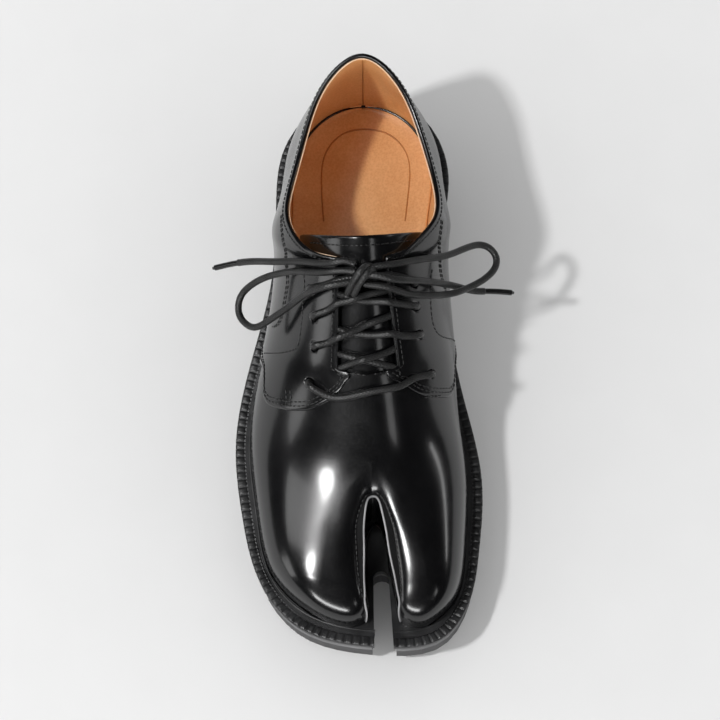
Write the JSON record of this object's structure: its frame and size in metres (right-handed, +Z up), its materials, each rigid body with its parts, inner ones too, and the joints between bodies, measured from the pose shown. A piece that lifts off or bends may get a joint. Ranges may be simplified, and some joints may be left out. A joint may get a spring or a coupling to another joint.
{
  "type": "split toe derby shoe",
  "caption": "Lace-up derby shoe with a split toe: hollow leather upper with two toe lobes, open collar, tongue under the facings, ribbed welt and a lugged rubber sole with a heel.",
  "frame": {"origin": "middle of the shoe's bounding box on the floor", "axes": "+Y from toe to heel, +X to the inner side of this right shoe, +Z up from the floor"},
  "size_m": [0.1323, 0.2563, 0.0976],
  "materials": {
    "black_leather": "glossy polished box leather",
    "black_rubber": "satin moulded rubber",
    "grey_rubber": "matte moulded rubber",
    "tan_leather": "matte vegetable tan leather",
    "black_cotton": "waxed round braided cotton",
    "black_acetate": "smooth shrunk acetate"
  },
  "bodies": {
    "root": {"outsole": "black_rubber", "heel": "black_rubber", "midsole": "grey_rubber", "welt": "black_rubber", "upper": "black_leather", "tongue": "black_leather", "insole": "tan_leather", "lace_bar": "black_cotton", "lace_cross_low": "black_cotton", "lace_cross_middle": "black_cotton", "lace_cross_top": "black_cotton", "lace_tie_lateral": "black_cotton", "lace_tie_medial": "black_cotton", "lace_knot": "black_cotton", "lace_loop_lateral": "black_cotton", "lace_loop_medial": "black_cotton", "lace_end_lateral": "black_cotton", "lace_end_medial": "black_cotton", "lace_tip_lateral": "black_acetate", "lace_tip_medial": "black_acetate"}
  },
  "joints": []
}
